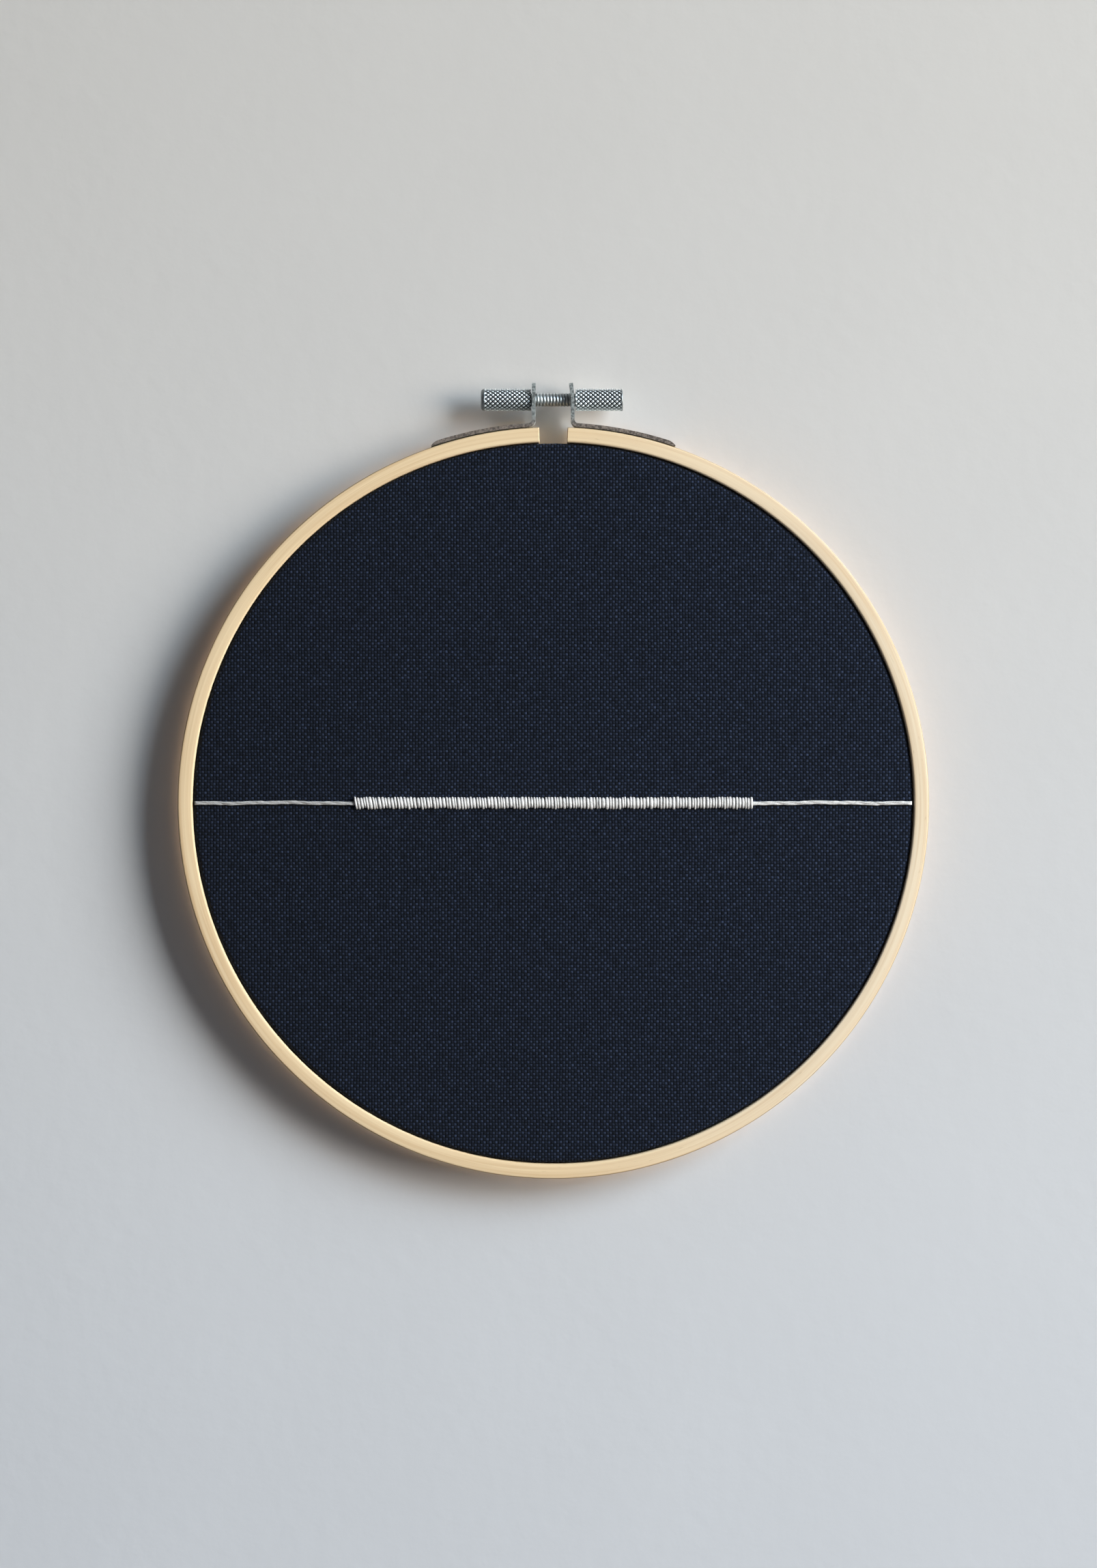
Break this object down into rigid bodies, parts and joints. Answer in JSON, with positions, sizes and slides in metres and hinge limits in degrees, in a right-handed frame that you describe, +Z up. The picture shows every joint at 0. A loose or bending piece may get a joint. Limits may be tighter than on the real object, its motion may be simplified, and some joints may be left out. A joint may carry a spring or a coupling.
{
  "type": "embroidery hoop with stretched embroidered linen",
  "caption": "Round wooden embroidery hoop with a screw clamp, holding dark linen with a laid thread line and a satin-stitched bar across its middle.",
  "frame": {"origin": "top of the inner ring's inside wall, at the back, where a nail in the wall carries the hoop", "axes": "+Z up, +X to the viewer's right, +Y into the wall; the embroidered face looks along -Y and the wall is the plane Y = 0"},
  "size_m": [0.21, 0.0119, 0.2226],
  "materials": {
    "wood": "bare sanded beech with a fine straight grain along the ring",
    "linen": "dark navy plain-weave linen",
    "thread": "off-white stranded cotton with a soft lustre",
    "steel": "dull galvanised strip with a grainy cut edge",
    "plated": "zinc-plated steel, knurled"
  },
  "bodies": {
    "root": {"outer_ring": "wood", "inner_ring": "wood", "linen": "linen", "satin_bar": "thread", "satin_reverse": "thread", "line_left": "thread", "line_right": "thread", "strip_left": "steel", "strip_right": "steel", "screw": "plated", "nut": "plated"}
  },
  "joints": []
}
